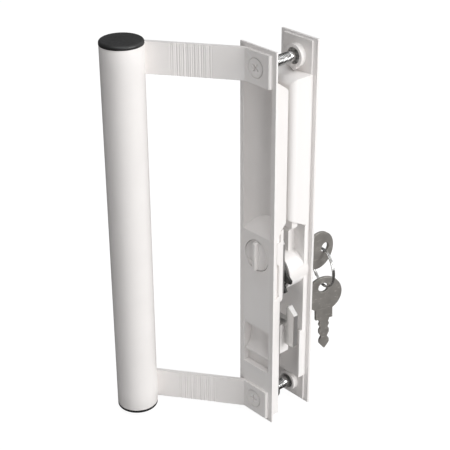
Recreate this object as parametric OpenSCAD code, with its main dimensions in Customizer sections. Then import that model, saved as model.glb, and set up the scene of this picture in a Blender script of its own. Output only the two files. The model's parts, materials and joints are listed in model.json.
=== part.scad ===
// Sliding patio-door handle and lock set: an inside plate with an offset pull,
// an outside flush-pull plate with a key cylinder, and the hook bolt between them.
// Frame: origin on the inside plate's mounting face, midway between the two
// through-screws. +Z up along the plates, +X towards the hook (door edge),
// +Y from the inside plate to the outside plate. Millimetres.

/* [Plates] */
// Height of both plates
plate_h = 186.6; // [184:0.2:192]
// Width of both plates
plate_w = 22.1; // [21.5:0.1:24]
// Thickness of the inside plate's rim
rim_in_t = 1.0; // [0.8:0.1:1.2]
// Thickness of the outside plate's rim
rim_out_t = 1.3; // [1.2:0.1:1.8]
// Distance between the plates' mounting faces, which is the door stile's thickness
door_t = 23.4; // [23.2:0.1:24]
// Distance between the two through-screws
screw_spacing = 168.3; // [168:0.1:169]

/* [Grip] */
// Outside diameter of the grip tube
grip_d = 19.4; // [19:0.1:20]
// Wall of the grip tube
grip_wall = 1.6; // [1.4:0.1:1.8]
// Sideways distance from the plate's centre to the grip's centre
grip_x = -44.5; // [-45:0.1:-44]
// Distance from the mounting face to the grip's centre
grip_y = -38.3; // [-38.8:0.1:-37.8]
// Height of the grip's lower end above the plate's lower end
grip_z0 = 2.6; // [2.2:0.1:2.8]
// Height of the grip's upper end above the plate's lower end
grip_z1 = 185.5; // [185:0.1:186]

/* [Arms] */
// Angle between an arm and the plate
arm_angle = 36; // [35.5:0.1:36.5]
// Thickness of an arm
arm_t = 2.0; // [1.8:0.1:2.2]
// Number of fine grooves across an arm
groove_n = 20; // [8:1:22]

/* [Lock] */
// Travel of the slider and the hook
latch_travel = 6; // [4:0.5:6]
// Diameter of the inside turn button
turn_d = 15.2; // [14.6:0.1:15.4]
// Height of the turn button's axis above the plate's lower end
turn_z = 87.1; // [86.9:0.1:87.3]
// Height of the key cylinder's axis above the plate's lower end
cyl_z = 74.8; // [74.6:0.1:75]
// Diameter of the cylinder housing
drum_d = 19.1; // [18.9:0.1:19.5]
// Width of the slider window
win_w = 16.6; // [16.4:0.1:16.8]

/* [Keys] */
// Diameter of a key's bow
bow_d = 19.2; // [18.6:0.1:19.6]
// Thickness of a key
key_t = 1.5; // [1.3:0.1:1.8]
// Outside diameter of the key ring
ring_d = 20.4; // [20.2:0.1:20.6]

/* [Hidden] */
$fn = 64;
white = [0.93, 0.92, 0.91];
steel = [0.72, 0.72, 0.71];
brass = [0.80, 0.66, 0.32];
grey = [0.6, 0.6, 0.6];
sides = [-1, 1];

// ---------- helpers ----------
// Heights are counted from the plate's lower end; level() moves them to the frame.
mid_h = plate_h / 2;
function level(height) = height - mid_h;

// height of a through-screw: side is 1 for the upper, -1 for the lower
function screw_h(side) = mid_h + side * screw_spacing / 2;
function middle(span) = (span[0] + span[1]) / 2;

// prism along X from an outline of [y, height] points
module along_x(points, x_min, x_max) {
  translate([x_min, 0, 0]) rotate([90, 0, 90]) linear_extrude(height = x_max - x_min)
    polygon([for (p = points) [p[0], level(p[1])]]);
}

// prism along Y from an outline of [x, height] points
module along_y(points, y_min, y_max) {
  translate([0, y_max, 0]) rotate([90, 0, 0]) linear_extrude(height = y_max - y_min)
    polygon([for (p = points) [p[0], level(p[1])]]);
}

// round bar along Y
module y_bar(x, height, radius, y_min, y_max) {
  translate([x, y_max, level(height)]) rotate([90, 0, 0])
    cylinder(r = radius, h = y_max - y_min);
}

// flat ring about a Y axis at x = 0
module y_ring(height, outer_r, inner_r, y_min, y_max) {
  difference() {
    y_bar(0, height, outer_r, y_min, y_max);
    y_bar(0, height, inner_r, y_min - 1, y_max + 1);
  }
}

// body of revolution about a Y axis from [radius, y] points
module y_turned(x, height, points) {
  translate([x, 0, level(height)]) rotate([-90, 0, 0]) rotate_extrude() polygon(points);
}

module box(x_min, x_max, y_min, y_max, h_min, h_max) {
  translate([x_min, y_min, level(h_min)]) cube([x_max - x_min, y_max - y_min, h_max - h_min]);
}

// box centred on x = 0
module slab(half_w, y_min, y_max, h_min, h_max) {
  box(-half_w, half_w, y_min, y_max, h_min, h_max);
}

// two crossed slots, cut 0.6 deep from y towards +Y
module cross_slots(x, height, y, length, width) {
  translate([x, y, level(height)]) for (a = [0, 90]) rotate([0, a, 0])
    translate([-length / 2, 0, -width / 2]) cube([length, 0.6, width]);
}

// small screw pointing to -Y, its head seated at y
module small_screw(x, height, y, head_h) {
  difference() {
    y_turned(x, height,
      [[0, y - 3.1], [0.8, y - 2.7], [0.8, y], [1.7, y],
       [1.7, y + head_h / 2], [1.2, y + 0.93 * head_h], [0, y + head_h]]);
    cross_slots(x, height, y + 0.55 * head_h, 2.2, 0.36);
  }
}

// ---------- inside plate ----------
tray_half_w = 9.5;
tray_y = 4.8;
scoop_r = 8.8;
scoop_y = 7.9;
scoop_round = 1.6;
screw_clear_r = 2.7;
small_pilot_r = 0.82;
small_clear_r = 1.1;
win_h0 = 26.7;
win_h1 = 49.4;
// small screws: [x, height]
cover_screw_at = [[-6.6, 65.1], [6.6, 65.1], [0, 98.6]];
guide_screw_at = [[-6.6, 18.2], [6.6, 18.2]];
// tray behind the lock's front and the finger scoop's shell above it: [y, height]
tray_profile = concat(
  [[-0.2, 2.4], [tray_y, 2.4], [tray_y, 101.2], [scoop_y, 104.2]],
  [for (a = [0:15:60])
    [scoop_y - scoop_round + scoop_round * cos(a), 166.9 + scoop_round * sin(a)]],
  [[2, 172], [-0.2, 172]]);
// hollow of the finger scoop: [y, height]
scoop_profile = [[-3, 96.6], [-rim_in_t, 98], [9, 105], [9, 165.5], [-rim_in_t, 169.8],
                 [-3, 169.8]];
// openings in the tray's side walls: [inner x, outline of [y, height]]
side_openings = [
  [8.45, [[2.1, 66.4], [4.05, 67.6], [4.05, 83.4], [3.2, 84.9], [2.1, 84.9]]],
  [8.7, [[2.6, 95.8], [5, 95.4], [5, 100.0], [2.6, 98.6]]],
  [9.1, [[2.35, 84.8], [2.6, 84.8], [2.6, 95.9], [2.35, 95.9]]]];

module interior_plate() {
  color(white) difference() {
    union() {
      slab(plate_w / 2, -rim_in_t, 0, 0, plate_h);
      along_x(tray_profile, -tray_half_w, tray_half_w);
      // boss behind the top screw
      y_bar(0, screw_h(1), 4, -0.2, 2.4);
    }
    // finger scoop: half a cylinder closed by two sloping ends
    intersection() {
      translate([0, -rim_in_t, level(90)]) cylinder(r = scoop_r, h = 90, $fn = 96);
      along_x(scoop_profile, -9, 9);
    }
    // slider window and the slider's run behind it
    slab(win_w / 2, -3, 3, win_h0, win_h1 - 1.45);
    slab(win_w / 2, -3, -0.3, win_h0, win_h1);
    slab(8.6, 2.05, 6, 19.8, 63);
    // room for the turn button's spindle and its clip
    slab(8.3, 1.4, 6, 66.6, 97.2);
    y_bar(0, turn_z, turn_d / 2 + 0.08, -3, 3);
    for (side = sides) for (opening = side_openings)
      along_x(opening[1], side < 0 ? -10 : opening[0], side < 0 ? -opening[0] : 10);
    // pocket round the lower screw's boss
    difference() {
      slab(8.3, 0.8, 6, 3.6, 16.6);
      y_bar(0, screw_h(-1), 4, 0, 7);
    }
    // through-screw holes
    for (side = sides) y_bar(0, screw_h(side), screw_clear_r, -3, 7);
    // pilot holes for the cover's and the guide's screws
    for (p = cover_screw_at) y_bar(p[0], p[1], small_pilot_r, p[0] == 0 ? 1.6 : 1, 7);
    for (p = guide_screw_at) y_bar(p[0], p[1], small_pilot_r, 1.6, 7);
  }
}

// ---------- outside plate ----------
panel_y = door_t - 1.0;
bed_y = door_t - 2.9;
frame_y = door_t - 4.5;
rib_y = door_t - 6.9;
dish_y = door_t - 12.4;
body_y0 = door_t - 12.3;
boss_y = door_t - 3.7;
outer_y = door_t + rim_out_t;
// outer face of the low raised centre
face_y = outer_y + 0.3;
insert_y0 = door_t - 1.9;
insert_y1 = door_t + 0.7;
shell_half_w = 9;
shell_r = 2.8;
shell_top = 170.5;
// shell of the outside finger pull: [y, height]
shell_profile = concat(
  [[panel_y + 0.3, 97.6], [door_t + 0.1, 97.6], [door_t + 0.1, shell_top]],
  [for (a = [90:15:180])
    [dish_y + shell_r + shell_r * cos(a), shell_top - shell_r + shell_r * sin(a)]],
  [[dish_y, 104.4], [dish_y + 0.25, 103.7], [dish_y + 0.9, 103.2]]);
// hollow of the outside finger pull: [y, height]
pull_profile = [[outer_y + 3, 98.6], [face_y, 99.2], [dish_y + 1.2, 104.6],
                [dish_y + 1.2, 169.3], [outer_y + 3, 169.3]];
// lower pocket with its ramp: [y, height]
ramp_profile = [[frame_y - 2, 17.6], [frame_y, 18.2], [panel_y - 1.2, 23], [panel_y, 31],
                [panel_y, 44], [frame_y - 2, 44]];

// shell of the finger pull, rounded along the edges nearest the inside plate
module pull_shell() {
  corner_x = shell_half_w - shell_r;
  intersection() {
    along_x(shell_profile, -shell_half_w, shell_half_w);
    translate([0, 0, level(90)]) linear_extrude(height = 90) union() {
      translate([-shell_half_w, dish_y + shell_r]) square([2 * shell_half_w, 20]);
      translate([-corner_x, dish_y]) square([2 * corner_x, 20]);
      for (side = sides)
        translate([side * corner_x, dish_y + shell_r]) circle(r = shell_r, $fn = 96);
    }
  }
}

module exterior_plate() {
  color(white) difference() {
    union() {
      slab(plate_w / 2, door_t, outer_y, 0, plate_h);
      // raised panel on the mounting face
      slab(8.6, panel_y, door_t + 0.2, 1.0, plate_h - 1.0);
      // low raised centre on the outer face
      along_y([[-9.2, 2], [9.2, 2], [9.2, plate_h - 2], [-9.2, plate_h - 2]],
        outer_y - 0.2, face_y);
      pull_shell();
      // block at the shell's lower end
      slab(7.9, 13.2, 16.9, 98.6, 103.4);
      // raised bed round the cylinder housing
      slab(9, bed_y, door_t + 0.1, 42, 98.2);
      // cylinder housing
      y_bar(0, cyl_z, drum_d / 2, body_y0, door_t + 0.1);
      // rib above the cylinder housing
      along_x([[rib_y, cyl_z + 8], [bed_y + 0.3, cyl_z + 8], [bed_y + 0.3, 96.4],
               [rib_y, 94.2]], -2.6, 2.6);
      // frame round the lower pocket
      difference() {
        slab(9, frame_y, door_t + 0.1, 15.8, 42.2);
        along_x(ramp_profile, -7.8, 7.8);
      }
      // screw bosses and the small boss under the upper one
      for (side = sides) y_bar(0, screw_h(side), 5.2, boss_y, panel_y + 0.3);
      y_bar(0, 172.7, 1.85, boss_y + 0.3, panel_y + 0.3);
    }
    // outside finger pull
    intersection() {
      translate([0, face_y, level(90)]) cylinder(r = 13.0, h = 90, $fn = 96);
      along_x(pull_profile, -8, 8);
    }
    // bore for the cylinder
    y_bar(0, cyl_z, 8.25, door_t - 14, outer_y + 2);
    // blind screw holes
    for (side = sides) y_bar(0, screw_h(side), 3.7, boss_y - 1, insert_y1);
  }
}

// ---------- arms and grip ----------
grip_r = grip_d / 2;
bore_r = grip_r - grip_wall;
grip_at = [grip_x, grip_y];
// heights [lower, upper] of each arm and of its head in the tube
upper_span = [170.0, 184.8];
upper_head = [171, 184.4];
lower_span = [1.7, 16.3];
lower_head = [3.1, 16.3];
grip_screw_hs = [middle(upper_head), middle(lower_head)];
// arm in plan: foot on the plate, straight run, curve to the tube
foot_x = 8.54;
foot_y = -rim_in_t - 1.6;
run_length = 42.5;
bend_angle = 36;
bend_r = 5;
arm_dir = [-cos(arm_angle), -sin(arm_angle)];
run_start = [-6.5, foot_y];
run_end = run_start + run_length * arm_dir;
// grooves: distance of the first along the run and length they cover
groove_start = 14.2;
groove_length = 18.2;

// normal on the arm's front side, which faces away from the plate
function front_normal(angle) = [sin(angle), -cos(angle)];
// point on the curve after a turn in degrees, set back behind the front side
function curve_point(turn, setback) =
  run_end + bend_r * front_normal(arm_angle)
  - (bend_r + setback) * front_normal(arm_angle + turn);

// angle, seen from the grip's centre, at which an arm enters the tube
arm_tip = curve_point(bend_angle, arm_t / 2);
slot_angle = atan2(arm_tip[1] - grip_y, arm_tip[0] - grip_x);

// turns local Z to the grip screws' outward direction
module grip_screw_dir() {
  rotate([0, 0, slot_angle + 20]) rotate([0, 90, 0]) children();
}

module arm_section() {
  difference() {
    polygon(concat(
      [[foot_x, -rim_in_t], [foot_x, foot_y + 0.5], [foot_x - 0.5, foot_y],
       run_start, run_end],
      [for (turn = [4:4:bend_angle]) curve_point(turn, 0)],
      [for (turn = [bend_angle:-4:4]) curve_point(turn, arm_t)],
      [curve_point(0, arm_t), [run_start[0] - arm_t * sin(arm_angle), -rim_in_t]]));
    translate(grip_at) circle(r = grip_r + 0.01, $fn = 96);
  }
}

// head of the arm that slides in the tube's slot
module arm_head() {
  translate(grip_at) rotate(slot_angle) {
    translate([bore_r - 2.1, -1.0]) square([grip_r - bore_r + 3.2, 2.0]);
    intersection() {
      difference() {
        circle(r = bore_r - 0.05, $fn = 96);
        circle(r = bore_r - 2.0, $fn = 96);
      }
      polygon([[0, 0], [20, -20 * tan(33)], [20, 20 * tan(33)]]);
    }
  }
}

module arm(span, head, hole_h) {
  arm_h = span[1] - span[0];
  color(white) difference() {
    union() {
      translate([0, 0, level(span[0])]) linear_extrude(height = arm_h) arm_section();
      translate([0, 0, level(head[0])]) linear_extrude(height = head[1] - head[0]) arm_head();
    }
    // fine grooves on the front of the run, slightly uneven in spacing and depth
    for (i = [0:groove_n - 1]) {
      along = groove_start + groove_length * i / (groove_n - 1) + 0.16 * sin(i * 143);
      groove_at = run_start + along * arm_dir;
      half_w = 0.34 + 0.1 * sin(i * 97);
      translate([groove_at[0], groove_at[1], level(span[0]) - 1]) rotate(arm_angle - 135)
        translate([-half_w, -half_w, 0]) cube([2 * half_w, 2 * half_w, arm_h + 2]);
    }
    // countersunk hole in the foot
    y_turned(0, hole_h,
      [[0, foot_y - 0.5], [4.62, foot_y - 0.5], [4.62, foot_y + 0.2],
       [screw_clear_r, foot_y + 1.55], [screw_clear_r, 0.5], [0, 0.5]]);
    // grip screw's pilot hole
    translate([grip_x, grip_y, level(middle(head))]) grip_screw_dir()
      cylinder(r = 0.85, h = 12, $fn = 24);
  }
}

module upper_arm() {
  arm(upper_span, upper_head, screw_h(1));
}

module lower_arm() {
  arm(lower_span, lower_head, screw_h(-1));
}

module grip_tube() {
  cut_h = grip_z1 - grip_z0 + 2;
  color(white) translate([grip_x, grip_y, 0]) difference() {
    translate([0, 0, level(grip_z0)]) cylinder(r = grip_r, h = grip_z1 - grip_z0, $fn = 96);
    translate([0, 0, level(grip_z0) - 1]) cylinder(r = bore_r, h = cut_h, $fn = 96);
    // slot that the arms slide into
    rotate([0, 0, slot_angle]) translate([0, -1.1, level(grip_z0) - 1])
      cube([grip_r + 2, 2.2, cut_h]);
    // screw holes
    for (height = grip_screw_hs) translate([0, 0, level(height)]) grip_screw_dir()
      cylinder(r = 1.1, h = 12, $fn = 24);
  }
}

// grip screw: [radius, distance from the grip's axis]
grip_screw_profile = [
  [0, bore_r - 3], [0.6, bore_r - 2.6], [0.8, bore_r - 2.2], [0.8, grip_r + 0.05],
  [1.9, grip_r + 0.05], [1.8, grip_r + 0.75], [1.2, grip_r + 1.05], [0, grip_r + 1.1]];

module grip_screws() {
  color(steel) for (height = grip_screw_hs)
    translate([grip_x, grip_y, level(height)]) grip_screw_dir() difference() {
      rotate_extrude($fn = 32) polygon(grip_screw_profile);
      translate([-1.2, -0.2, grip_r + 0.6]) cube([2.4, 0.4, 1]);
      translate([-0.2, -1.2, grip_r + 0.6]) cube([0.4, 2.4, 1]);
    }
}

// end cap with its plug in the tube; dome_h is the rise of the middle
module grip_cap(height, flip, cap_r, rim_h, edge_r, dome_h) {
  flat_r = cap_r - edge_r;
  color([0.13, 0.13, 0.13]) translate([grip_x, grip_y, level(height)]) rotate([flip, 0, 0])
    rotate_extrude($fn = 96) polygon(concat(
      [[0, -5.5], [bore_r - 2.5, -5.5], [bore_r - 2.2, -5.2], [bore_r - 2.2, 0],
       [cap_r, 0], [cap_r, rim_h]],
      [for (a = [15:15:90]) [flat_r + edge_r * cos(a), rim_h + edge_r * sin(a)]],
      [for (i = [1:5])
        [flat_r * (1 - i / 5), rim_h + edge_r + dome_h * (1 - pow(1 - i / 5, 2))]]));
}

module grip_cap_top() {
  grip_cap(grip_z1, flip = 0, cap_r = grip_r + 0.12, rim_h = 0.7, edge_r = 1.1, dome_h = 0.5);
}

module grip_cap_bottom() {
  grip_cap(grip_z0, flip = 180, cap_r = grip_r, rim_h = 0.8, edge_r = 0.7, dome_h = 0.1);
}

// ---------- through-screws ----------
screw_tip = door_t + 0.3;
thread_pitch = 0.78;
thread_y0 = 2.0;
// countersunk head, thread and plain end: [radius, y]
screw_profile = concat(
  [[0, foot_y + 0.12], [4.5, foot_y + 0.12], [4.5, foot_y + 0.25], [2.4, foot_y + 1.6],
   [2.15, 1.6]],
  [for (i = [0:18]) each [[2.5, thread_y0 + i * thread_pitch],
                          [2.12, thread_y0 + (i + 0.5) * thread_pitch]]],
  [[2.45, 16.9], [2.45, door_t - 3.4], [2.0, door_t - 2.9], [2.0, screw_tip - 0.6],
   [1.5, screw_tip], [0, screw_tip]]);
// one bar of the cross recess: [y, height], about the head's centre
recess_profile = [
  [-0.5, mid_h - 0.42], [0.5, mid_h - 0.42], [1.6, mid_h - 0.2],
  [1.6, mid_h + 0.2], [0.5, mid_h + 0.42], [-0.5, mid_h + 0.42]];

module mounting_screws() {
  color(steel) for (side = sides) difference() {
    y_turned(0, screw_h(side), screw_profile);
    translate([0, foot_y, level(screw_h(side))])
      for (a = side > 0 ? [35, 125] : [0, 90]) rotate([0, a, 0])
        along_x(recess_profile, -2.3, 2.3);
  }
}

module threaded_inserts() {
  insert_end = insert_y1 - 0.2;
  color([0.62, 0.62, 0.61]) for (side = sides) y_turned(0, screw_h(side),
    [[2.05, insert_y0], [3.5, insert_y0], [3.68, insert_y0 + 0.4], [3.68, insert_end],
     [2.05, insert_end]]);
}

module retainer_washer() {
  color([0.14, 0.14, 0.14])
    y_turned(0, screw_h(-1), [[2.55, 10.0], [4.7, 10.0], [4.7, 10.8], [2.55, 10.8]]);
}

// ---------- behind the inside plate ----------
cover_y1 = 6.6;
guide_y1 = 5.5;
// cover: [y, height]
cover_profile = [[tray_y, 66.3], [5.4, 64.0], [cover_y1, 65.6], [cover_y1, 101.2],
                 [6.3, 101.9], [5.05, 100.9], [tray_y, 100.4]];

module mechanism_cover() {
  color(white) difference() {
    along_x(cover_profile, -tray_half_w, tray_half_w);
    y_bar(0, turn_z, 3.05, 4, 8);
    for (p = cover_screw_at) y_bar(p[0], p[1], small_clear_r, 4, 8);
  }
}

module cover_screws() {
  color(steel) for (p = cover_screw_at) small_screw(p[0], p[1], cover_y1, 0.42);
}

module slider_guide() {
  color(steel) difference() {
    slab(9.3, tray_y, guide_y1, 16.3, 63.4);
    // slot for the latch carrier's neck
    slab(4.2, 4, 7, 37.6, 48.4 + latch_travel);
    for (p = guide_screw_at) y_bar(p[0], p[1], small_clear_r, 4, 8);
  }
}

module guide_screws() {
  color(steel) for (p = guide_screw_at) small_screw(p[0], p[1], guide_y1, 0.8);
}

// leaf spring that clicks over the slider's two end positions
spring_y0 = 2.2;
spring_w = 2.2;
spring_x = -7.6;

module detent_spring() {
  spring_y1 = spring_y0 + spring_w;
  color([0.62, 0.63, 0.64]) difference() {
    union() {
      box(-8.0, spring_x, spring_y0, spring_y1, 56.9, 63);
      box(-8.5, spring_x, spring_y0, spring_y1, 62.6, 63);
      // round bump
      translate([spring_x, spring_y0, level(58.6)]) rotate([-90, 0, 0])
        cylinder(r = 0.55, h = spring_w, $fn = 24);
    }
    // trims the bump where it passes through the leaf
    box(-9, -8.02, 2, 5, 56, 62.4);
  }
}

// ---------- slider and hook ----------
slider_y = 2.15;
slider_screw_hs = [40, 46];
carrier_y0 = 5.6;
carrier_y1 = 11.4;
hook_y0 = 7.5;
hook_y1 = 10.5;
bar_y0 = 7.5;
bar_y1 = 9.5;
// rivets through carrier and hook, and the one through hook and drive bar
rivet_xs = [-3.2, 3.2];
rivet_h = 43;
bar_rivet_h = 57.4;
rivet_r = 1.0;
rivet_hole_r = rivet_r + 0.03;
// slider's body, with a finger hollow above the lip: [y, height]
slider_profile = [
  [4.7, 20.2], [slider_y, 20.2], [slider_y, 36.0], [2.75, 36.9], [3.2, 38.1],
  [3.5, 39.8], [3.6, 41.6], [3.55, 43.4], [3.4, 45.6], [3.15, 48.2],
  [2.75, 51.2], [slider_y, 54.4], [slider_y, 56.6], [4.7, 56.6]];
// raised lip in the window: [y, height]
lip_profile = [
  [2.6, 31.9], [0.9, 32.2], [0.2, 32.7], [-0.1, 33.4], [-0.15, 34.0],
  [0.1, 34.35], [0.7, 34.75], [1.45, 35.3], [slider_y, 36.0], [2.6, 35.6]];
// hook finger beyond the plates' edge, arm over the carrier, tang in it: [x, height]
hook_outline = [
  [10.2, 42.0], [11.0, 41.2], [15.3, 41.2], [16.1, 42.0], [16.1, 58.3],
  [12.4, 62.0], [11.7, 62.0], [10.9, 60.6], [10.9, 54.3], [3.1, 54.3],
  [3.1, 59.6], [-3.1, 59.6], [-3.1, 54.3], [-5.0, 54.3], [-5.0, 37.6],
  [5.0, 37.6], [5.0, 51.0], [10.2, 51.0]];
// drive bar: [x, height]
bar_outline = [
  [-3.0, 54.32], [3.0, 54.32], [3.0, 63.5], [7.6, 66.8], [7.6, 92.5],
  [6.6, 93.5], [-6.6, 93.5], [-7.6, 92.5], [-7.6, 66.8], [-3.0, 63.5]];
// drive pin, moved by the cylinder's fork
pin_x = 5.8;
pin_h = cyl_z - latch_travel / 2;
// crank pin, moved by the turn button
crank_angle = -45;
crank_r = latch_travel / (2 * sin(-crank_angle));
crank_x = crank_r * cos(crank_angle);
crank_h = turn_z + crank_r * sin(crank_angle);

module thumb_slider() {
  color(white) difference() {
    union() {
      along_x(slider_profile, -8.5, 8.5);
      along_x(lip_profile, -8.2, 8.2);
    }
    // screws' pilot holes
    for (height = slider_screw_hs) y_bar(0, height, 0.8, 3.95, 6);
    // run past the leaf spring
    box(-9, -6.95, 1, 6, 49.5, 57);
  }
}

module latch_carrier() {
  color(white) difference() {
    union() {
      slab(9, carrier_y0, carrier_y1, 35.3, 50.9);
      // neck through the guide
      slab(4, 4.72, carrier_y0 + 0.1, 38, 48);
    }
    // slot for the hook plate's tang
    slab(5.1, hook_y0 - 0.05, hook_y1 + 0.05, 37.4, 52);
    for (height = slider_screw_hs) {
      y_bar(0, height, small_clear_r, 4, 7.6);
      y_bar(0, height, 2.0, 6.4, 7.6);
    }
    for (x = rivet_xs) y_bar(x, rivet_h, rivet_hole_r, 5, 12);
  }
}

module slider_screws() {
  color(steel) for (height = slider_screw_hs) difference() {
    y_turned(0, height,
      [[0, 4.0], [0.75, 4.05], [0.75, 6.42], [1.7, 6.42], [1.6, 7.2], [0, 7.25]]);
    cross_slots(0, height, 6.9, 2.0, 0.32);
  }
}

module hook_bolt() {
  color(steel) difference() {
    along_y(hook_outline, hook_y0, hook_y1);
    // finger thinned on its +Y side
    box(9.8, 17, 10.1, 11, 40, 63);
    // lap for the drive bar
    slab(4, hook_y0 - 1, bar_y1, 54.3, 61);
    for (x = rivet_xs) y_bar(x, rivet_h, rivet_hole_r, 7, 11);
    y_bar(0, bar_rivet_h, rivet_hole_r, 7, 11);
  }
}

module latch_rivets() {
  color([0.66, 0.66, 0.65]) {
    for (x = rivet_xs) y_bar(x, rivet_h, rivet_r, carrier_y0 + 0.05, carrier_y1 - 0.05);
    y_bar(0, bar_rivet_h, rivet_r, hook_y0 + 0.05, hook_y1 - 0.05);
  }
}

module drive_bar() {
  tip_r = 3.7;
  tip_h0 = cyl_z - latch_travel - 1;
  tip_h1 = cyl_z + 1;
  color([0.70, 0.71, 0.71]) difference() {
    along_y(bar_outline, bar_y0, bar_y1 - 0.02);
    y_bar(0, bar_rivet_h, rivet_hole_r, 7, 11);
    y_bar(pin_x, pin_h, 1.28, 7, 11);
    // clearance for the key's tip
    slab(tip_r, 7, 10, tip_h0, tip_h1);
    for (height = [tip_h0, tip_h1]) y_bar(0, height, tip_r, 7, 10);
    // cross slot for the spindle's crank pin
    box(1.3, 6.1, 7, 10, crank_h - 1.45, crank_h + 1.45);
  }
}

module drive_pin() {
  color([0.75, 0.75, 0.74]) y_turned(pin_x, pin_h,
    [[0, 7.6], [1.25, 7.6], [1.25, 10.75], [1.05, 10.95], [0, 10.95]]);
}

// ---------- turn button ----------
turn_r = turn_d / 2;
// button's disc: [radius, y]
button_profile = [[0, -0.9], [turn_r - 0.25, -0.9], [turn_r, -0.65], [turn_r, 1.35],
                  [3.6, 1.35], [3.6, 1.6], [0, 1.6]];
// finger fin: [y, height]
fin_profile = [
  [0.2, turn_z - 7.2], [-2.6, turn_z - 7.2], [-3.1, turn_z - 6.7], [-3.1, turn_z + 6.5],
  [-2.8, turn_z + 7.1], [-2.3, turn_z + 7.3], [0.2, turn_z + 7.3]];

module turn_button() {
  color(white) difference() {
    union() {
      y_turned(0, turn_z, button_profile);
      along_x(fin_profile, -0.75, 0.75);
    }
    // two hollows that leave a finger bar between them
    intersection() {
      y_bar(0, turn_z, turn_r - 0.4, -4, 0.9);
      for (side = sides)
        translate([side * 4.35, -3.4, level(turn_z) - 10]) cylinder(r = 3.6, h = 20);
    }
    // square socket for the spindle
    translate([-1.55, 0.1, level(turn_z) - 1.55]) cube([3.1, 3, 3.1]);
  }
}

module turn_spindle() {
  color([0.70, 0.70, 0.69]) difference() {
    union() {
      translate([-1.5, 0.2, level(turn_z) - 1.5]) cube([3, 2.0, 3]);
      y_bar(0, turn_z, 3.0, 1.62, 7.0);
      // crank disc on the cover's +Y side, and its pin
      y_bar(0, turn_z, 5.6, 6.94, 7.42);
      y_bar(crank_x, crank_h, 1.25, 7.2, 9.3);
    }
    // groove for the clip
    y_ring(turn_z, 4, 2.4, 3.6, 4.2);
  }
}

module spindle_clip() {
  color(grey) difference() {
    y_ring(turn_z, 4.6, 2.42, 3.65, 4.15);
    slab(1.9, 3, 5, turn_z - 6, turn_z);
  }
}

// ---------- key cylinder ----------
body_y1 = outer_y + 0.7;
plug_r = 5.5;
tail_r = 3.5;
cam_y0 = body_y0 - 1.4;
cam_y1 = body_y0 - 0.1;
keyway_half_w = key_t / 2 + 0.08;
fork_half_w = 1.57;
fork_angle = -atan(latch_travel / 2 / pin_x);
// one jaw beside the fork's mouth: [along the mouth, across it]
jaw_outline = [[4, fork_half_w], [8.8, fork_half_w], [10.2, 2.3], [11.1, 3.0],
               [10.6, 4.3], [7.6, 5.0], [4, 5.6]];

// y of a wafer's middle
function wafer_y(i) = body_y0 + 2.9 + i * 2.3;

// extrudes an outline drawn along the fork's mouth from y_max towards -Y
module fork_solid(y_max, thickness) {
  translate([0, y_max, level(cyl_z)]) rotate([90, 0, 0]) linear_extrude(height = thickness)
    rotate(fork_angle) children();
}

module cylinder_body() {
  color([0.72, 0.70, 0.66]) difference() {
    union() {
      y_bar(0, cyl_z, 8.2, body_y0, body_y1 - 0.1);
      y_bar(0, cyl_z, 9.4, face_y, body_y1);
    }
    y_bar(0, cyl_z, plug_r + 0.04, body_y0 - 1, body_y1 + 2);
    // slots that take the wafers' ends
    slab(2.4, body_y0 + 1.8, body_y1 - 2.2, cyl_z - 7.1, cyl_z + 7.1);
    // groove for the circlip
    y_ring(cyl_z, 9, 7.7, body_y0 + 0.4, body_y0 + 1.0);
  }
}

module cylinder_circlip() {
  color([0.55, 0.55, 0.55]) difference() {
    y_ring(cyl_z, 8.18, 7.72, body_y0 + 0.45, body_y0 + 0.95);
    slab(2, body_y0, body_y0 + 2, cyl_z + 4, cyl_z + 10);
  }
}

module cylinder_plug() {
  color(brass) difference() {
    union() {
      y_bar(0, cyl_z, plug_r, body_y0 + 0.12, body_y1);
      // double-D tail
      intersection() {
        y_bar(0, cyl_z, tail_r, body_y0 - 1.5, body_y0 + 0.3);
        slab(2.9, 9, 14, cyl_z - 4, cyl_z + 4);
      }
    }
    // keyway
    slab(keyway_half_w, 5, body_y1 + 2, cyl_z - 2.98, cyl_z + 2.98);
    // wafer chambers
    for (i = [0:3]) slab(2.25, wafer_y(i) - 0.6, wafer_y(i) + 0.6, cyl_z - 6, cyl_z + 6);
    // clip groove on the tail
    y_ring(cyl_z, 4, 3.1, body_y0 - 1.36, body_y0 - 1.0);
  }
}

// rotating fork that moves the drive pin; its mouth points down and towards the hook
module cylinder_cam() {
  color([0.12, 0.12, 0.12]) difference() {
    union() {
      y_bar(0, cyl_z, 8.6, cam_y0, cam_y1);
      fork_solid(cam_y1, cam_y1 - cam_y0)
        for (side = sides) scale([1, side]) polygon(jaw_outline);
    }
    // recess on the -Y side round the plug's tail
    y_bar(0, cyl_z, 6.4, body_y0 - 3, body_y0 - 0.9);
    // double-D hole on the tail
    intersection() {
      y_bar(0, cyl_z, tail_r + 0.02, 8, 14);
      slab(2.92, 8, 14, cyl_z - 4, cyl_z + 4);
    }
    // fork mouth
    fork_solid(body_y0 + 1, 5) translate([4.2, -fork_half_w]) square([9, 2 * fork_half_w]);
  }
}

module cam_clip() {
  color(brass) difference() {
    y_ring(cyl_z, 6.1, 3.12, body_y0 - 1.34, body_y0 - 1.02);
    // mouth over the fork's mouth
    fork_solid(body_y0 + 1, 5) translate([0, -1.75]) square([9, 3.5]);
  }
}

module wafers() {
  color([0.82, 0.70, 0.38]) for (i = [0:3]) difference() {
    slab(2.2, wafer_y(i) - 0.45, wafer_y(i) + 0.45, cyl_z - 4.7 - 0.2 * (i % 2), cyl_z + 4.2);
    slab(keyway_half_w, body_y0, body_y1, cyl_z - 3.0, cyl_z + 3.0);
  }
}

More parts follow.
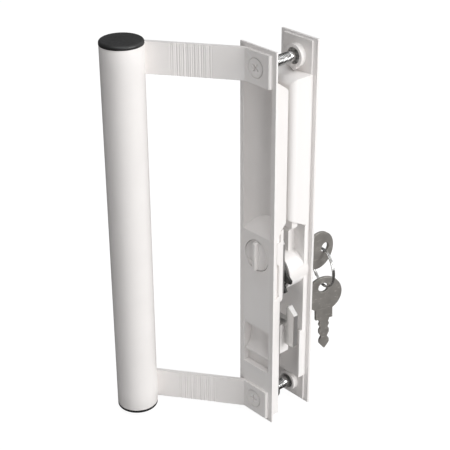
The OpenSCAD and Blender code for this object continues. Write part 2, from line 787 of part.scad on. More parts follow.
// each coil is drawn as one folded wall of revolution
module wafer_springs() {
  color([0.7, 0.7, 0.7]) for (i = [0:3])
    translate([1.5, wafer_y(i), level(cyl_z) + 4.21]) rotate_extrude($fn = 24)
      polygon(concat(
        [for (k = [0:4]) [0.36 + 0.07 * (k % 2), 0.2 * k]],
        [for (k = [4:-1:0]) [0.20 + 0.07 * (k % 2), 0.2 * k]]));
}

// ---------- keys ----------
// A key is drawn from its shoulder: blade towards -y, bow towards +y.
shoulder_y = body_y1 + 0.05;
bow_offset = 14.0;
blade_half_w = 2.8;
key_hole = [0.4, 18.0];
hole_r = 2.6;
// blade's edge: [distance from the shoulder to the tip side, depth of cut]
key_cuts = [
  [-1.5, 0], [0.7, 0.05], [1.9, 0.55], [2.9, 0.1], [3.6, 0.1], [5.0, 0.85], [6.3, 0.1],
  [8.2, 0.1], [10.3, 1.25], [12.0, 0.3], [12.6, 0.15], [14.1, 0.2], [17.1, 2.5]];
// the ring hangs in the upper key's hole, the spare hangs in the ring
wire_r = 0.6;
ring_r = ring_d / 2 - wire_r;
hole_y = shoulder_y + key_hole[1];
hang = hole_r - wire_r - 0.45;
ring_h = cyl_z + key_hole[0] - hang - ring_r;
spare_h = ring_h - ring_r;
ring_yaw = -16;
spare_yaw = -20;
spare_tilt = 2;

module key_bow() {
  difference() {
    union() {
      translate([0, bow_offset]) circle(r = bow_d / 2, $fn = 72);
      translate([-4.6, 0]) square([9.2, 10]);
    }
    translate(key_hole) circle(r = hole_r, $fn = 40);
  }
}

module key_blade() {
  polygon(concat(
    [for (p = key_cuts) [blade_half_w - p[1], -p[0]]],
    [for (i = [len(key_cuts) - 1:-1:0]) [key_cuts[i][1] - blade_half_w, -key_cuts[i][0]]]));
}

// stands a flat outline up in the yz plane
module key_solid() {
  rotate([90, 0, 90]) translate([0, 0, -key_t / 2]) linear_extrude(height = key_t) children();
}

module lock_key() {
  color([0.44, 0.43, 0.41]) translate([0, shoulder_y, level(cyl_z)]) {
    key_solid() rotate(-90) mirror([1, 0]) key_bow();
    key_solid() rotate(-90) mirror([1, 0]) key_blade();
  }
}

module key_ring() {
  color(grey) translate([0, hole_y, level(ring_h)]) rotate([0, 0, ring_yaw])
    rotate([90, 0, 0]) rotate_extrude($fn = 96)
      translate([ring_r, 0]) circle(r = wire_r, $fn = 32);
}

module spare_key() {
  to_hole = [key_hole[0], -key_hole[1]];
  color([0.48, 0.45, 0.43]) translate([0, hole_y, level(spare_h)])
    rotate([0, 0, spare_yaw]) rotate([spare_tilt, 0, 0]) translate([0, 0, -hang]) {
      key_solid() translate(to_hole) mirror([1, 0]) key_bow();
      key_solid() translate(to_hole) mirror([1, 0]) key_blade();
    }
}

interior_plate();
exterior_plate();
grip_tube();
grip_cap_top();
grip_cap_bottom();
upper_arm();
lower_arm();
grip_screws();
mounting_screws();
threaded_inserts();
retainer_washer();
mechanism_cover();
cover_screws();
slider_guide();
guide_screws();
detent_spring();
thumb_slider();
slider_screws();
latch_carrier();
hook_bolt();
latch_rivets();
drive_bar();
drive_pin();
turn_button();
turn_spindle();
spindle_clip();
cylinder_body();
cylinder_circlip();
cylinder_plug();
cylinder_cam();
cam_clip();
wafers();
wafer_springs();
lock_key();
key_ring();
spare_key();
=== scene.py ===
"""Sliding patio-door handle and lock set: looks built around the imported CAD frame.

Z runs up the handle. The through-screws run along Y, with their heads on the -Y side.
The frame is in metres; sizes marked mm are scaled by MM.
"""

import json
import math

import bmesh
import bpy
import numpy as np
from mathutils import Matrix, Vector


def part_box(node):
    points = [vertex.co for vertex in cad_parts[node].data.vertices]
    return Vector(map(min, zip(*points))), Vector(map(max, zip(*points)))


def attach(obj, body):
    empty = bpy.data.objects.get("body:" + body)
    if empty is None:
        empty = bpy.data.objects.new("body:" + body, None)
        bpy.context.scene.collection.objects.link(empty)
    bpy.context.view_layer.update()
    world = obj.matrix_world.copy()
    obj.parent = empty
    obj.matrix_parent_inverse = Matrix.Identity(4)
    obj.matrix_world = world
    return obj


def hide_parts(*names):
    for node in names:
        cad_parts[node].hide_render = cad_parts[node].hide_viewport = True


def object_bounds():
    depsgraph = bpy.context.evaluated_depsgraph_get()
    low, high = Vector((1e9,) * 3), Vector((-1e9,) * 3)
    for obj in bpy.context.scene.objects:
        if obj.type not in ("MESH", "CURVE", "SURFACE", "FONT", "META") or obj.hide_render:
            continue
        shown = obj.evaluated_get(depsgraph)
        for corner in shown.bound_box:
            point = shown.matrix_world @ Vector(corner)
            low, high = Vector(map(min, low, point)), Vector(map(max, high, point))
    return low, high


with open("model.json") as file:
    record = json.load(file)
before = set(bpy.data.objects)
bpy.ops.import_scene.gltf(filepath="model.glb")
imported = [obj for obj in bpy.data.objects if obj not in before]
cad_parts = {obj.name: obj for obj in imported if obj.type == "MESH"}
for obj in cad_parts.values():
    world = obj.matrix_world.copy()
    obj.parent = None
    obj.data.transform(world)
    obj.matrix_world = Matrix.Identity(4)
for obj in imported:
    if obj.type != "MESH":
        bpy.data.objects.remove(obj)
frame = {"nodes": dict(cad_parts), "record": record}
cad_lo, cad_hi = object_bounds()
NODES = frame["nodes"]
BODY = {n: b for b, ns in frame["record"]["behaviour"]["bodies"].items() for n in ns}
SLOT = {s["node"]: s["material_slot"] for s in frame["record"]["subparts"]}
MM = 0.001
SCENE = bpy.context.scene
COLL = SCENE.collection


# ------------------------------------------------------------------ shader graphs
class Graph:
    """Wires the shader nodes of a material or world."""

    def __init__(self, owner):
        owner.use_nodes = True
        self.tree = owner.node_tree
        self.tree.nodes.clear()

    def new(self, kind, **attrs):
        node = self.tree.nodes.new(kind)
        for key, value in attrs.items():
            setattr(node, key, value)
        return node

    def link(self, source, target):
        self.tree.links.new(source, target)

    def remap(self, value, span, to=(0, 1), **attrs):
        node = self.new("ShaderNodeMapRange", **attrs)
        node.inputs["From Min"].default_value = span[0]
        node.inputs["From Max"].default_value = span[1]
        node.inputs["To Min"].default_value = to[0]
        node.inputs["To Max"].default_value = to[1]
        self.link(value, node.inputs["Value"])
        return node.outputs[0]

    def math(self, operation, *values):
        node = self.new("ShaderNodeMath", operation=operation)
        for i, value in enumerate(values):
            if isinstance(value, (int, float)):
                node.inputs[i].default_value = value
            else:
                self.link(value, node.inputs[i])
        return node.outputs[0]

    def diffuse(self, colour):
        node = self.new("ShaderNodeBsdfDiffuse")
        node.inputs[0].default_value = (*colour, 1)
        return node.outputs[0]

    def mix_shader(self, fac, off, on):
        node = self.new("ShaderNodeMixShader")
        for i, source in enumerate((fac, off, on)):
            self.link(source, node.inputs[i])
        return node.outputs[0]


class Mat(Graph):
    """One Principled material, textured in object space."""

    def __init__(self, name):
        self.material = bpy.data.materials.new(name)
        super().__init__(self.material)
        out = self.new("ShaderNodeOutputMaterial")
        self.bsdf = self.new("ShaderNodeBsdfPrincipled")
        self.link(self.bsdf.outputs[0], out.inputs[0])
        self.coords = self.new("ShaderNodeTexCoord").outputs["Object"]

    def noise(self, scale, detail=3, rough=0.55, stretch=None, tilt=0):
        """Noise, optionally stretched along the axes and tilted about X."""
        node = self.new("ShaderNodeTexNoise")
        node.inputs["Scale"].default_value = scale
        node.inputs["Detail"].default_value = detail
        node.inputs["Roughness"].default_value = rough
        source = self.coords
        if stretch:
            mapping = self.new("ShaderNodeMapping")
            mapping.inputs["Rotation"].default_value = (tilt, 0, 0)
            mapping.inputs["Scale"].default_value = stretch
            self.link(self.coords, mapping.inputs["Vector"])
            source = mapping.outputs[0]
        self.link(source, node.inputs["Vector"])
        return node.outputs["Fac"]

    def mix(self, fac, low, high):
        """A colour going from low to high with fac."""
        node = self.new("ShaderNodeMix", data_type="RGBA")
        self.link(fac, node.inputs[0])
        for i, colour in ((6, low), (7, high)):
            if isinstance(colour, tuple):
                node.inputs[i].default_value = (*colour, 1)
            else:
                self.link(colour, node.inputs[i])
        return node.outputs[2]

    def bump(self, height, strength, distance, under=None):
        """A bump normal; distance is in metres."""
        node = self.new("ShaderNodeBump")
        node.inputs["Strength"].default_value = strength
        node.inputs["Distance"].default_value = distance
        self.link(height, node.inputs["Height"])
        if under is not None:
            self.link(under, node.inputs["Normal"])
        return node.outputs[0]

    def edge(self, span):
        """1 on convex edges, 0 elsewhere."""
        geometry = self.new("ShaderNodeNewGeometry")
        return self.remap(geometry.outputs["Pointiness"], span)

    def set(self, **values):
        """Sets Principled inputs, with _ for a space, and returns the material."""
        for key, value in values.items():
            target = self.bsdf.inputs[key.replace("_", " ")]
            if isinstance(value, (int, float)):
                target.default_value = value
            else:
                self.link(value, target)
        return self.material


# ------------------------------------------------------------------ materials
MID = (0.3, 0.7)  # the part of a noise's range that is spread over a full change
PALE = (0.35, 0.65)  # a narrower part, for the whites
EDGE = (0.52, 0.6)  # pointiness over which metal edges lighten


def white_paint():
    k = Mat("white_paint")
    cloud = k.noise(scale=55)
    grain = k.noise(scale=2600, detail=2)
    peel = k.noise(scale=900, detail=2, rough=0.5)
    col = k.mix(k.remap(cloud, PALE), low=(0.885, 0.855, 0.836), high=(0.905, 0.875, 0.856))
    # painted highlight: convex edges are coloured lighter
    col = k.mix(k.edge((0.53, 0.6)), low=col, high=(0.93, 0.905, 0.89))
    rough = k.remap(k.noise(scale=240, detail=4), MID, to=(0.30, 0.42))
    normal = k.bump(peel, strength=0.12, distance=0.00012)
    normal = k.bump(grain, strength=0.06, distance=0.00004, under=normal)
    return k.set(Base_Color=col, Roughness=rough, Normal=normal, Specular_IOR_Level=0.45,
                 Coat_Weight=0.15, Coat_Roughness=0.25)


def white_plastic():
    k = Mat("white_plastic")
    cloud = k.remap(k.noise(scale=70), PALE)
    col = k.mix(cloud, low=(0.875, 0.845, 0.826), high=(0.90, 0.87, 0.851))
    rough = k.remap(k.noise(scale=500), MID, to=(0.34, 0.46))
    normal = k.bump(k.noise(scale=3200, detail=2), strength=0.08, distance=0.00004)
    return k.set(Base_Color=col, Roughness=rough, Normal=normal, Specular_IOR_Level=0.45)


def black_plastic():
    k = Mat("black_plastic")
    cloud = k.remap(k.noise(scale=120, detail=4), (0.35, 0.7))
    col = k.mix(cloud, low=(0.010, 0.010, 0.010), high=(0.022, 0.022, 0.023))
    rough = k.remap(k.noise(scale=700), MID, to=(0.34, 0.5))
    normal = k.bump(k.noise(scale=2600, detail=2), strength=0.12, distance=0.00005)
    return k.set(Base_Color=col, Roughness=rough, Normal=normal, Specular_IOR_Level=0.5)


def metal(name, dark, light, rough, brush=(1, 1, 1), scratch=0.1, edge_tint=None, metallic=1.0):
    """Metal mottled by fine streaks and broader clouds."""
    k = Mat(name)
    streak = k.noise(scale=900, detail=4, rough=0.6, stretch=brush)
    cloud = k.noise(scale=160, detail=4)
    streak_part = k.math("MULTIPLY", k.remap(streak, MID), 0.55)
    cloud_part = k.math("MULTIPLY", k.remap(cloud, MID), 0.45)
    col = k.mix(k.math("ADD", streak_part, cloud_part), low=dark, high=light)
    if edge_tint:
        col = k.mix(k.edge(EDGE), low=col, high=edge_tint)
    patches = k.noise(scale=600, detail=4, rough=0.6, stretch=brush)
    return k.set(Base_Color=col, Roughness=k.remap(patches, MID, to=rough),
                 Normal=k.bump(streak, strength=scratch, distance=0.00003), Metallic=metallic)


def key_nickel():
    """Dull nickel with a few lighter slanting brush lines."""
    k = Mat("key_nickel")
    lines = k.noise(scale=1500, rough=0.5, stretch=(1.0, 0.12, 1.0), tilt=math.radians(38))
    cloud = k.remap(k.noise(scale=220, detail=4), MID)
    col = k.mix(cloud, low=(0.37, 0.352, 0.33), high=(0.46, 0.442, 0.415))
    col = k.mix(k.remap(lines, (0.60, 0.72), to=(0, 0.7)), low=col, high=(0.78, 0.75, 0.71))
    col = k.mix(k.edge(EDGE), low=col, high=(0.62, 0.60, 0.565))
    rough = k.remap(lines, MID, to=(0.46, 0.56))
    normal = k.bump(lines, strength=0.12, distance=0.00003)
    return k.set(Base_Color=col, Roughness=rough, Metallic=0.85, Specular_IOR_Level=0.3,
                 Normal=normal)


def bolt_steel():
    """Bright steel with painted shade: its thread roots, a pitch apart along Y, are coloured
    nearly black.
    """
    pitch, first_root = 0.78, 2.39  # mm
    start, end, fade = 2.0, 16.7, 0.1  # mm, the threaded length and how fast it fades
    k = Mat("bolt_steel")
    split = k.new("ShaderNodeSeparateXYZ")
    k.link(k.coords, split.inputs[0])
    y = k.math("MULTIPLY", split.outputs[1], 1000.0)
    phase = k.math("MULTIPLY", k.math("SUBTRACT", y, first_root), 2 * math.pi / pitch)
    wave = k.remap(k.math("COSINE", phase, 0.0), (-1, 1))
    threaded = k.math("MULTIPLY", k.remap(y, (start, start + fade)),
                      k.remap(y, (end, end + fade), to=(1, 0)))
    root_shade = k.math("MULTIPLY", wave, threaded)
    cloud = k.remap(k.noise(scale=400, detail=4), MID)
    steel = k.mix(cloud, low=(0.50, 0.50, 0.50), high=(0.72, 0.72, 0.71))
    # painted shade: the thread roots are coloured nearly black
    col = k.mix(root_shade, low=steel, high=(0.035, 0.032, 0.03))
    rough = k.remap(k.noise(scale=600), MID, to=(0.14, 0.26))
    return k.set(Base_Color=col, Roughness=rough, Metallic=1.0)


MATERIALS = {
    "white_paint": white_paint(),
    "bolt_steel": bolt_steel(),
    "white_plastic": white_plastic(),
    "black_plastic": black_plastic(),
    "zinc_steel": metal("zinc_steel", dark=(0.42, 0.42, 0.42), light=(0.68, 0.68, 0.67),
                        rough=(0.24, 0.40)),
    "spring_steel": metal("spring_steel", dark=(0.36, 0.37, 0.38), light=(0.55, 0.56, 0.57),
                          rough=(0.22, 0.36), brush=(1, 1, 0.2)),
    "cast_cam": metal("cast_cam", dark=(0.012, 0.012, 0.012), light=(0.035, 0.034, 0.033),
                      rough=(0.38, 0.55), scratch=0.3, edge_tint=(0.08, 0.078, 0.075),
                      metallic=0.6),
    "brass": metal("brass", dark=(0.52, 0.36, 0.13), light=(0.74, 0.55, 0.24),
                   rough=(0.28, 0.42)),
    "key_nickel": key_nickel(),
    "ring_steel": metal("ring_steel", dark=(0.45, 0.45, 0.45), light=(0.70, 0.70, 0.69),
                        rough=(0.14, 0.24)),
    "cylinder_nickel": metal("cylinder_nickel", dark=(0.42, 0.40, 0.37),
                             light=(0.62, 0.60, 0.56), rough=(0.24, 0.36)),
    "hook_steel": metal("hook_steel", dark=(0.57, 0.565, 0.555), light=(0.65, 0.64, 0.63),
                        rough=(0.28, 0.34), scratch=0.0, metallic=0.8),
}


# ------------------------------------------------------------------ mesh tools
def add_piece(name, mesh, node, slot, finish=None):
    """Puts a mesh in the scene in place of a CAD node."""
    piece = bpy.data.objects.new(name, mesh)
    COLL.objects.link(piece)
    mesh.materials.clear()
    mesh.materials.append(MATERIALS[finish or slot])
    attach(piece, BODY[node])
    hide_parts(node)
    return piece


def open_cad(node):
    """A bmesh of a CAD node with its doubled points merged."""
    bm = bmesh.new()
    bm.from_mesh(NODES[node].data)
    bmesh.ops.remove_doubles(bm, verts=bm.verts, dist=2e-6)
    return bm


def join_flat(bm):
    bmesh.ops.dissolve_limit(bm, angle_limit=math.radians(1), verts=bm.verts, edges=bm.edges,
                             delimit={"NORMAL"})


def write_mesh(bm, mesh, sharp_angle):
    """Writes a bmesh smooth-shaded, with edges above sharp_angle degrees kept sharp."""
    for face in bm.faces:
        face.smooth = True
    bm.to_mesh(mesh)
    bm.free()
    mesh.set_sharp_from_angle(angle=math.radians(sharp_angle))


def add_bevel(piece, width, segments, limit_method):
    """A bevel modifier; width is in mm."""
    bevel = piece.modifiers.new("bevel", "BEVEL")
    bevel.width = width * MM
    bevel.segments = segments
    bevel.limit_method = limit_method
    bevel.harden_normals = True
    return bevel


def room(edge, sharp):
    """How wide, in metres, an edge can be bevelled before it meets its neighbours."""
    straight_on = math.radians(150)
    sharp_share, plain_share = 0.42, 0.8  # share of a neighbour's length that can be used
    best = 1.0
    for face in edge.link_faces:
        for v in edge.verts:
            for other in v.link_edges:
                if other is edge or face not in other.link_faces:
                    continue
                along = (edge.other_vert(v).co - v.co).normalized()
                away = other.other_vert(v).co - v.co
                length = away.length
                if length < 1e-9:
                    continue
                angle = along.angle(away / length)
                if angle > straight_on and other in sharp:
                    continue
                share = sharp_share if other in sharp else plain_share
                best = min(best, length * math.sin(angle) * share)
    return best


def weigh(bm, width_at, widest):
    """Gives each sharp edge the bevel width that fits there, as a share of the widest (mm)."""
    sharp_angle, narrowest = math.radians(28), 0.012 * MM
    layers = bm.edges.layers.float
    layer = layers.get("bevel_weight_edge") or layers.new("bevel_weight_edge")
    bm.normal_update()
    sharp = {e for e in bm.edges
             if len(e.link_faces) == 2 and e.calc_face_angle(0) > sharp_angle}
    for edge in sharp:
        width = min(width_at(edge) * MM, room(edge, sharp))
        edge[layer] = min(1.0, max(width, narrowest) / (widest * MM))


def folded_points(piece):
    """Points of the evaluated piece where a corner normal turns against its face."""
    bpy.context.view_layer.update()
    evaluated = piece.evaluated_get(bpy.context.evaluated_depsgraph_get())
    mesh = evaluated.to_mesh()
    normals = mesh.corner_normals
    points = []
    for face in mesh.polygons:
        for corner in face.loop_indices:
            if normals[corner].vector.dot(face.normal) < -0.05:
                points.append(tuple(mesh.vertices[mesh.loops[corner].vertex_index].co))
    evaluated.to_mesh_clear()
    return points


def settle(piece, bevel):
    """Narrows the bevel wherever it folds a face over; clamps it if that fails."""
    passes, gentle_passes = 7, 5
    gentle, strong = 0.5, 0.1  # what a weight is multiplied by in each kind of pass
    mesh = piece.data
    count = len(mesh.edges)
    ends = np.empty(count * 2, dtype=np.int32)
    mesh.edges.foreach_get("vertices", ends)
    first, last = ends[0::2], ends[1::2]
    co = np.empty(len(mesh.vertices) * 3)
    mesh.vertices.foreach_get("co", co)
    co = co.reshape(-1, 3)
    start = co[first]
    span = co[last] - start
    length_sq = np.maximum((span * span).sum(1), 1e-18)
    short = length_sq < (1.6 * MM) ** 2
    weights = mesh.attributes["bevel_weight_edge"].data
    for k in range(passes):
        folded = folded_points(piece)
        if not folded:
            return
        weight = np.empty(count, dtype=np.float32)
        weights.foreach_get("value", weight)
        near = np.zeros(count, dtype=bool)
        reach = (0.35 + 0.1 * k) * MM
        for point in folded:
            t = np.clip(((np.array(point) - start) * span).sum(1) / length_sq, 0, 1)
            near |= np.linalg.norm(start + span * t[:, None] - point, axis=1) < reach
        # a curved edge in many short pieces is narrowed along its whole run
        while True:
            touched = np.zeros(len(mesh.vertices), dtype=bool)
            touched[first[near & short]] = True
            touched[last[near & short]] = True
            more = short & (weight > 0) & (touched[first] | touched[last]) & ~near
            if not more.any():
                break
            near |= more
        weight[near] *= gentle if k < gentle_passes else strong
        weights.foreach_set("value", weight)
        mesh.update()
    bevel.use_clamp_overlap = True


def cad_copy(node, width, smooth=38, width_at=None, edit=None):
    """A copy of a CAD node with its flat faces joined and its edges rounded over.

    width is the bevel in mm (0 for none), width_at gives it per edge, smooth is the
    angle in degrees above which shading is sharp, and edit changes the bmesh first.
    """
    bm = open_cad(node)
    bmesh.ops.dissolve_degenerate(bm, edges=bm.edges, dist=1e-6)
    join_flat(bm)
    if edit:
        edit(bm)
    mesh = bpy.data.meshes.new(node + "_body")
    if width:
        width_at = width_at or (lambda edge: width)
        widest = max([width] + [width_at(e) for e in bm.edges])
        weigh(bm, width_at, widest)
    write_mesh(bm, mesh, smooth)
    piece = add_piece(node + "_body", mesh, node, SLOT[node])
    if width:
        bevel = add_bevel(piece, widest, 3, "WEIGHT")
        bevel.use_clamp_overlap = False
        bevel.miter_outer = "MITER_SHARP"
    weighted = piece.modifiers.new("weighted", "WEIGHTED_NORMAL")
    weighted.mode = "FACE_AREA"
    weighted.weight = 50
    weighted.keep_sharp = True
    if width:
        settle(piece, bevel)
    return piece


def mesh_piece(name, verts, faces, node, slot, smooth=38):
    """A piece from points in mm."""
    mesh = bpy.data.meshes.new(name)
    mesh.from_pydata([(x * MM, y * MM, z * MM) for x, y, z in verts], [], faces)
    mesh.validate()
    bm = bmesh.new()
    bm.from_mesh(mesh)
    bmesh.ops.recalc_face_normals(bm, faces=bm.faces)
    write_mesh(bm, mesh, smooth)
    return add_piece(name, mesh, node, slot)


def sweep(name, path, radius, node, slot, sides=20):
    """A round wire with flat ends along a path of Vectors in mm."""
    count = len(path)
    verts, faces = [], []
    across = Vector((0.31, 0.77, 0.55)).normalized()
    for i, point in enumerate(path):
        along = (path[min(i + 1, count - 1)] - path[max(i - 1, 0)]).normalized()
        # carried on from ring to ring so that the wire doesn't twist
        across = (across - along * across.dot(along)).normalized()
        third = along.cross(across)
        for k in range(sides):
            turn = 2 * math.pi * k / sides
            verts.append(point + (across * math.cos(turn) + third * math.sin(turn)) * radius)
    for i in range(count - 1):
        here, there = i * sides, (i + 1) * sides
        for k in range(sides):
            m = (k + 1) % sides
            faces.append((here + k, here + m, there + m, there + k))
    faces.append(tuple(range(sides - 1, -1, -1)))
    faces.append(tuple((count - 1) * sides + k for k in range(sides)))
    return mesh_piece(name, verts, faces, node, slot)


def shrink(verts, x, z, factor):
    """Scales points towards the line along Y through x, z."""
    for v in verts:
        v.co.x = x + (v.co.x - x) * factor
        v.co.z = z + (v.co.z - z) * factor


# ------------------------------------------------------------------ pieces copied from the CAD
# edge rounding of each copied node, mm
BEVEL = {
    "interior_plate": 0.25, "exterior_plate": 0.3, "grip_cap_top": 0.1,
    "grip_cap_bottom": 0.1, "upper_arm": 0.08, "lower_arm": 0.08, "grip_screws": 0.05,
    "threaded_inserts": 0.1, "retainer_washer": 0.2, "mechanism_cover": 0.25,
    "cover_screws": 0.05, "slider_guide": 0.08, "guide_screws": 0.05, "detent_spring": 0.04,
    "thumb_slider": 0.2, "slider_screws": 0.05, "latch_carrier": 0.3, "hook_bolt": 0.14,
    "latch_rivets": 0.1, "drive_bar": 0.15, "drive_pin": 0.1, "turn_button": 0.15,
    "turn_spindle": 0.1, "spindle_clip": 0.04, "cylinder_body": 0.1,
    "cylinder_circlip": 0.04, "cylinder_plug": 0.08, "cylinder_cam": 0.25, "cam_clip": 0.04,
    "wafers": 0.05, "wafer_springs": 0, "lock_key": 0.12, "spare_key": 0.12,
}


def soften_grooves(bm):
    """Makes the fine grooves across an arm shallow lines rather than deep cuts."""
    deepest, shallowest = -0.00075, -0.00006  # metres from the front face
    fill = 0.62  # share of the depth taken away
    largest_wall = 1.5e-5  # square metres
    fronts = (f for f in bm.faces
              if abs(f.normal.z) < 0.05 and f.normal.y < -0.2 and f.normal.x < 0.9)
    front = max(fronts, key=lambda f: f.calc_area())
    normal, centre = front.normal.copy(), front.calc_center_median()
    along = normal.cross(Vector((0, 0, 1)))

    def is_wall(face):
        return (0.05 < abs(face.normal.dot(along)) < 0.9 and abs(face.normal.z) < 0.05
                and face.calc_area() < largest_wall)

    for v in bm.verts:
        depth = (v.co - centre).dot(normal)
        if deepest < depth < shallowest and any(is_wall(f) for f in v.link_faces):
            v.co -= normal * depth * fill


def exterior_width(edge):
    """Rounds the convex edges at x = +-9 near z = 75 more than the rest (mm)."""
    middle = (edge.verts[0].co * 1000 + edge.verts[1].co * 1000) / 2
    at_side = abs(abs(middle.x) - 9) < 0.15
    if at_side and 72 < middle.z < 77.6 and middle.y < 22.3 and edge.is_convex:
        return 1.3
    return BEVEL["exterior_plate"]


ARM = {"edit": soften_grooves, "smooth": 12}
EXTRA = {"upper_arm": ARM, "lower_arm": ARM, "exterior_plate": {"width_at": exterior_width}}
copies = {n: cad_copy(n, BEVEL[n], **EXTRA.get(n, {})) for n in NODES if n in BEVEL}


# ------------------------------------------------------------------ through-screws
HEAD_CUT = -0.00092  # y, in metres, where the heads are parted from the shanks


def shape_heads(bm):
    """Levels the recess in each of the two heads and narrows the heads a little."""
    recess_depth = 0.0008
    recess_share = 0.80  # of the head's radius
    top = min(v.co.y for v in bm.verts)
    heights = [v.co.z for v in bm.verts]
    middle = (min(heights) + max(heights)) / 2
    for side in (1, -1):
        verts = [v for v in bm.verts if (v.co.z - middle) * side > 0]
        xs, zs = [v.co.x for v in verts], [v.co.z for v in verts]
        x, z = (max(xs) + min(xs)) / 2, (max(zs) + min(zs)) / 2
        rim = max(math.hypot(v.co.x - x, v.co.z - z) for v in verts)
        for v in verts:
            inside = math.hypot(v.co.x - x, v.co.z - z) < rim * recess_share
            if inside and top + 0.0001 < v.co.y < HEAD_CUT - 0.00005:
                v.co.y = top + recess_depth
        shrink(verts, x, z, 0.925)


def screw_part(name, slot, finish, is_head, bevel_width, bevel_segments):
    """The heads or the shanks of the mounting screws."""
    bm = open_cad("mounting_screws")
    cut = bmesh.ops.bisect_plane(
        bm, geom=bm.verts[:] + bm.edges[:] + bm.faces[:], plane_co=(0, HEAD_CUT, 0),
        plane_no=(0, 1, 0), clear_outer=is_head, clear_inner=not is_head)
    rims = [g for g in cut["geom_cut"] if isinstance(g, bmesh.types.BMEdge)]
    bmesh.ops.holes_fill(bm, edges=rims, sides=0)
    join_flat(bm)
    bmesh.ops.recalc_face_normals(bm, faces=bm.faces)
    if is_head:
        shape_heads(bm)
    mesh = bpy.data.meshes.new(name)
    write_mesh(bm, mesh, 35)
    piece = add_piece(name, mesh, "mounting_screws", slot, finish)
    bevel = add_bevel(piece, bevel_width, bevel_segments, "ANGLE")
    bevel.angle_limit = math.radians(30)


screw_part("screw_heads", "white_paint", "white_paint", is_head=True,
           bevel_width=0.16, bevel_segments=3)
screw_part("screw_shanks", "zinc_steel", "bolt_steel", is_head=False,
           bevel_width=0.04, bevel_segments=1)

# the turn button is trimmed so that a fine dark joint shows around it
button_lo, button_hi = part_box("turn_button")
button_mid = (Vector(button_lo) + Vector(button_hi)) / 2
shrink(copies["turn_button"].data.vertices, button_mid.x, button_mid.z, 0.965)


# ------------------------------------------------------------------ grip tube
def grip_tube():
    """An upright C-section with softened ends, its slot where the upper arm enters."""
    wall, half_slot = 1.6, 1.1  # mm
    corner, inner_corner = 0.22, 0.15  # mm
    lo, hi = (Vector(c) * 1000 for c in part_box("grip_tube"))
    cx, cy = (lo.x + hi.x) / 2, (lo.y + hi.y) / 2
    outer_r = (hi.y - lo.y) / 2
    inner_r = outer_r - wall
    arm = [v.co * 1000 for v in NODES["upper_arm"].data.vertices]
    offsets = [Vector((p.x - cx, p.y - cy)) for p in arm
               if (p.x - cx) ** 2 + (p.y - cy) ** 2 < (inner_r - 0.2) ** 2]
    towards_arm = sum(offsets, Vector((0, 0)))
    slot_angle = math.atan2(towards_arm.y, towards_arm.x)
    segments, steps = 180, 24

    def angles(radius):
        half = math.asin(half_slot / radius)
        return [slot_angle + half + (2 * math.pi - 2 * half) * i / segments
                for i in range(segments + 1)]

    outer, inner = angles(outer_r), angles(inner_r)
    shoulder = 0.29 * corner  # how far the corner's middle point stands in from the corner
    straight = hi.z - lo.z - 2 * corner
    # rings around the wall's section: angles, radius, z
    rings = [
        (inner, inner_r, lo.z + inner_corner),
        (inner, inner_r + inner_corner, lo.z),
        (outer, outer_r - corner, lo.z),
        (outer, outer_r - shoulder, lo.z + shoulder),
        (outer, outer_r, lo.z + corner),
    ]
    rings += [(outer, outer_r, lo.z + corner + straight * k / steps) for k in range(1, steps)]
    rings += [
        (outer, outer_r, hi.z - corner),
        (outer, outer_r - shoulder, hi.z - shoulder),
        (outer, outer_r - corner, hi.z),
        (inner, inner_r + inner_corner, hi.z),
        (inner, inner_r, hi.z - inner_corner),
    ]
    verts = [(cx + r * math.cos(a), cy + r * math.sin(a), z)
             for turn, r, z in rings for a in turn]
    row, count = segments + 1, len(rings)
    faces = []
    for k in range(count):
        j = (k + 1) % count
        for i in range(segments):
            faces.append((k * row + i, k * row + i + 1, j * row + i + 1, j * row + i))
    # the two faces of the slot
    faces.append(tuple(k * row for k in range(count)))
    faces.append(tuple(k * row + segments for k in range(count - 1, -1, -1)))
    mesh_piece("grip_tube_shell", verts, faces, "grip_tube", "white_paint", 50)


grip_tube()


# ------------------------------------------------------------------ split key ring
def key_ring():
    """Two turns of round wire, side by side, in an upright plane."""
    wire = 0.40  # mm, radius of the wire
    turns, steps, start_angle = 2.03, 260, 0.9
    step_from, step_to = 0.88, 1.12  # turns between which the wire steps sideways
    co = [v.co * 1000 for v in NODES["key_ring"].data.vertices]
    centre = sum(co, Vector()) / len(co)
    radius = max(v.z for v in co) - centre.z - 0.6
    far = max(co, key=lambda v: Vector((v.x - centre.x, v.y - centre.y)).length)
    level = Vector((far.x - centre.x, far.y - centre.y, 0)).normalized()
    upright = Vector((0, 0, 1))
    axis = level.cross(upright)
    path = []
    for i in range(steps + 1):
        turned = turns * i / steps
        angle = 2 * math.pi * turned - start_angle
        t = min(max((turned - step_from) / (step_to - step_from), 0), 1)
        side = wire * (-1 + 2 * (0.5 - 0.5 * math.cos(math.pi * t)))
        spoke = level * math.cos(angle) + upright * math.sin(angle)
        path.append(centre + spoke * radius + axis * side)
    sweep("split_ring", path, wire, "key_ring", "ring_steel")


key_ring()


# ------------------------------------------------------------------ floor
FLOOR_GAP = 0.0012  # metres below the product


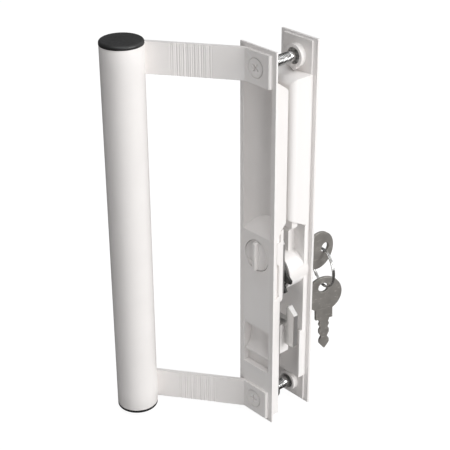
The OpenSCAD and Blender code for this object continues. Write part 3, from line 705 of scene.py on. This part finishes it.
def floor_paper():
    """Pale paper, brighter to the camera than to the object and clear from below."""
    material = bpy.data.materials.new("floor_paper")
    k = Graph(material)
    out = k.new("ShaderNodeOutputMaterial")
    lighting = k.diffuse((0.62, 0.62, 0.62))
    emit = k.new("ShaderNodeEmission")
    emit.inputs[1].default_value = 0.94
    seen = k.new("ShaderNodeAddShader")
    k.link(k.diffuse((0.16, 0.16, 0.16)), seen.inputs[0])
    k.link(emit.outputs[0], seen.inputs[1])
    rays = k.new("ShaderNodeLightPath").outputs
    mirrored = k.diffuse((0.16, 0.15, 0.145))
    unseen = k.mix_shader(rays["Is Glossy Ray"], off=lighting, on=mirrored)
    above = k.mix_shader(rays["Is Camera Ray"], off=unseen, on=seen.outputs[0])
    geometry = k.new("ShaderNodeNewGeometry")
    clear = k.new("ShaderNodeBsdfTransparent")
    both = k.mix_shader(geometry.outputs["Backfacing"], off=above, on=clear.outputs[0])
    k.link(both, out.inputs[0])
    return material


def add_floor():
    bm = bmesh.new()
    bmesh.ops.create_grid(bm, x_segments=1, y_segments=1, size=6.0)
    mesh = bpy.data.meshes.new("floor")
    bm.to_mesh(mesh)
    bm.free()
    floor = bpy.data.objects.new("floor", mesh)
    floor.location = (0, 0, cad_lo.z - FLOOR_GAP)
    COLL.objects.link(floor)
    mesh.materials.append(floor_paper())


add_floor()


# ------------------------------------------------------------------ world
def studio_dome():
    """A soft dome, brightest towards one side; plain white to the camera."""
    brightest = Vector((0.76, 0.30, 0.57)).normalized()
    level, swing, least = 0.235, 0.40, 0.02  # strength: mean, change to the side, minimum
    world = bpy.data.worlds.new("world")
    SCENE.world = world
    k = Graph(world)
    out = k.new("ShaderNodeOutputWorld")
    diffuse = k.new("ShaderNodeBackground")
    camera = k.new("ShaderNodeBackground")
    camera.inputs[0].default_value = (1, 1, 1, 1)
    coords = k.new("ShaderNodeTexCoord")
    dot = k.new("ShaderNodeVectorMath", operation="DOT_PRODUCT")
    dot.inputs[1].default_value = brightest
    k.link(coords.outputs["Generated"], dot.inputs[0])
    facing = dot.outputs["Value"]
    strength = k.math("MAXIMUM", k.math("MULTIPLY_ADD", facing, swing, level), least)
    k.link(strength, diffuse.inputs[1])
    rays = k.new("ShaderNodeLightPath").outputs
    # reflections see a stronger contrast
    glossy = k.new("ShaderNodeBackground")
    contrast = k.remap(facing, (-0.25, 0.75), to=(0.22, 1.25), interpolation_type="SMOOTHSTEP")
    k.link(contrast, glossy.inputs[1])
    unseen = k.mix_shader(rays["Is Glossy Ray"], off=diffuse.outputs[0], on=glossy.outputs[0])
    seen = k.mix_shader(rays["Is Camera Ray"], off=unseen, on=camera.outputs[0])
    k.link(seen, out.inputs[0])


studio_dome()

# ------------------------------------------------------------------ lights
LIGHT_DISTANCE = 1.6


def soft_box(name, direction, size, level, colour=(1, 1, 1)):
    """A square soft box that lights a face turned to it by about this level."""
    data = bpy.data.lights.new(name, "AREA")
    data.shape = "SQUARE"
    data.size = size
    data.color = colour
    data.energy = level * math.pi**2 * LIGHT_DISTANCE**2
    light = bpy.data.objects.new(name, data)
    outward = Vector(direction).normalized()
    light.location = outward * LIGHT_DISTANCE
    light.rotation_mode = "QUATERNION"
    light.rotation_quaternion = (-outward).to_track_quat("-Z", "Y")
    COLL.objects.link(light)


soft_box("softbox", direction=(0.88, 0.24, 0.40), size=0.9, level=0.67)
soft_box("front_fill", direction=(0.85, -0.45, 0.30), size=0.5, level=0.09)
soft_box("overhead", direction=(0.05, -0.22, 1.0), size=0.9, level=0.24,
         colour=(0.965, 0.98, 1.0))


# ------------------------------------------------------------------ camera
def add_camera():
    """Looks down from the +X, -Y side."""
    place = Vector((0.353042, -0.337755, 0.265501))
    turn, drop, roll = (math.radians(a) for a in (47.997, 27.64, -0.37))
    forward = Vector((-math.sin(turn) * math.cos(drop), math.cos(turn) * math.cos(drop),
                      -math.sin(drop)))
    level_right = Vector((math.cos(turn), math.sin(turn), 0))
    level_up = level_right.cross(forward)
    right = level_right * math.cos(roll) + level_up * math.sin(roll)
    up = -level_right * math.sin(roll) + level_up * math.cos(roll)
    data = bpy.data.cameras.new("camera")
    camera = bpy.data.objects.new("camera", data)
    rotation = Matrix((right, up, -forward)).transposed()
    camera.matrix_world = Matrix.Translation(place) @ rotation.to_4x4()
    data.sensor_width = 36
    data.lens = 98.6096
    data.shift_x = -0.00126444
    data.shift_y = -0.00212444
    data.clip_start = 0.01
    data.clip_end = 20
    COLL.objects.link(camera)
    SCENE.camera = camera


add_camera()
SCENE.view_settings.view_transform = "Standard"
SCENE.view_settings.look = "None"

# ------------------------------------------------------------------ update
bpy.context.view_layer.update()
